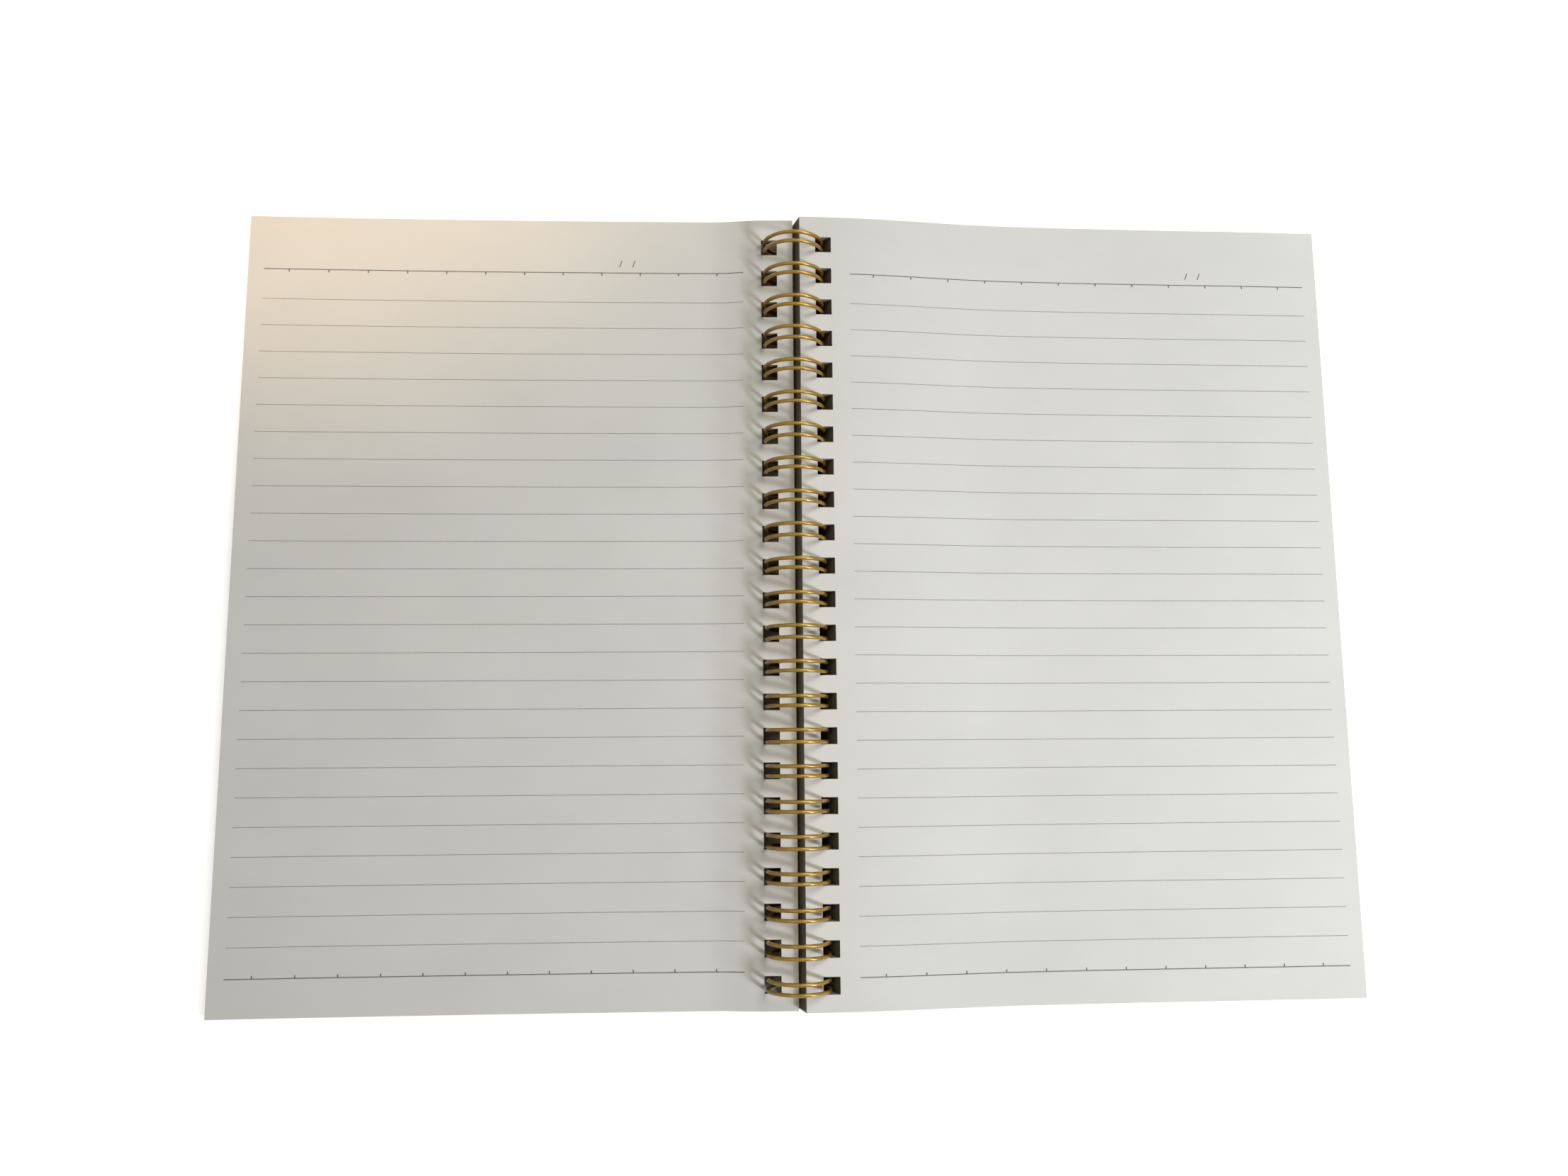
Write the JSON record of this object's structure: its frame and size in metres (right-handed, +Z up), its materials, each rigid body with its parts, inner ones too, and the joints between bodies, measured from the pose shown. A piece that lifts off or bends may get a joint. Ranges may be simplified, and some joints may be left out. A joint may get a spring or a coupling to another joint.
{
  "type": "wire-bound notebook",
  "caption": "Ruled notebook in a twin-loop wire binding, lying open: a thin stack of turned leaves on the left and a thick stack of leaves on the right, over card covers.",
  "frame": {"origin": "on the surface that the notebook lies on, under the middle of the open spread", "axes": "+X across the spread, from the turned leaves to the unturned ones; +Y up the page, along the wire; +Z up from the surface"},
  "size_m": [0.2816, 0.2, 0.0159],
  "materials": {
    "cover_card": "matte",
    "turned_paper": "matte",
    "unturned_paper": "matte",
    "coated_wire": "satin"
  },
  "bodies": {
    "book": {"twin_loop_wire": "coated_wire", "unturned_leaves": "unturned_paper"},
    "front_cover": {"front_cover": "cover_card"},
    "turned_leaves": {"turned_leaves": "turned_paper"},
    "back_cover": {"back_cover": "cover_card"}
  },
  "joints": [
    {"name": "front_cover_hinge", "type": "hinge", "parent": "book", "child": "front_cover", "pos_m": [-0.00113, 0, 0.00948], "axis": [0, 1, 0], "range_deg": [0, 180]},
    {"name": "turned_leaves_hinge", "type": "hinge", "parent": "front_cover", "child": "turned_leaves", "pos_m": [-0.00113, 0, 0.00948], "axis": [0, 1, 0], "range_deg": [0, 180]},
    {"name": "back_cover_hinge", "type": "hinge", "parent": "book", "child": "back_cover", "pos_m": [-0.00073, 0, 0.00797], "axis": [0, 1, 0], "range_deg": [0, 40]}
  ]
}
